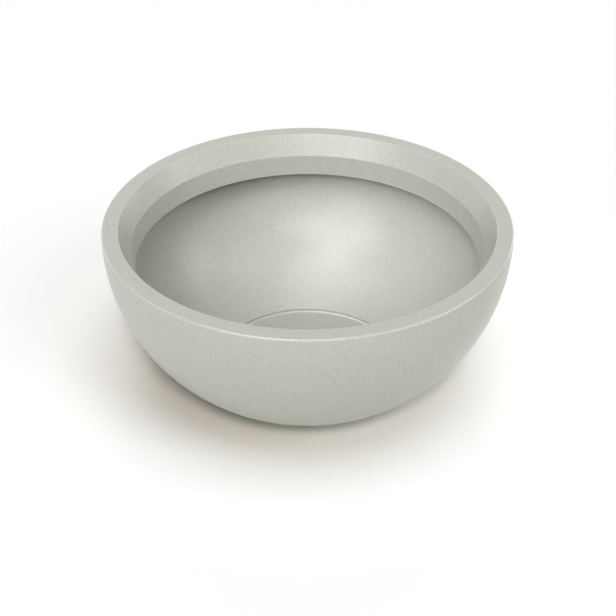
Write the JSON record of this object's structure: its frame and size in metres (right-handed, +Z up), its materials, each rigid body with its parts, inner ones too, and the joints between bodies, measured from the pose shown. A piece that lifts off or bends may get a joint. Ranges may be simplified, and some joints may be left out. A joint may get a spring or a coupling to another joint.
{
  "type": "bowl planter",
  "caption": "Round bowl planter with a flat rim that turns inward to a throat and a lip, a flat sunken disc in its floor, a low padded foot and a lift-out stopper in the drain hole.",
  "frame": {"origin": "centre of the foot, on the ground that the pads stand on", "axes": "+Z up along the bowl's axis; the picture looks along +Y with +X to the right"},
  "size_m": [0.4002, 0.4002, 0.179],
  "materials": {
    "planter_plastic": "moulded polypropylene in a pale warm grey with a green cast, satin, with a fine sandy speckle like cut stone",
    "stopper_plastic": "soft moulded polyethylene in a darker shade of the same grey, satin"
  },
  "bodies": {
    "bowl": {"bowl_shell": "planter_plastic", "rim_collar": "planter_plastic"},
    "stopper": {"drain_plug": "stopper_plastic"}
  },
  "joints": [
    {"name": "drain_plug_pull", "type": "slide", "parent": "bowl", "child": "stopper", "axis": [0, 0, 1], "range_m": [0, 0.06]}
  ]
}
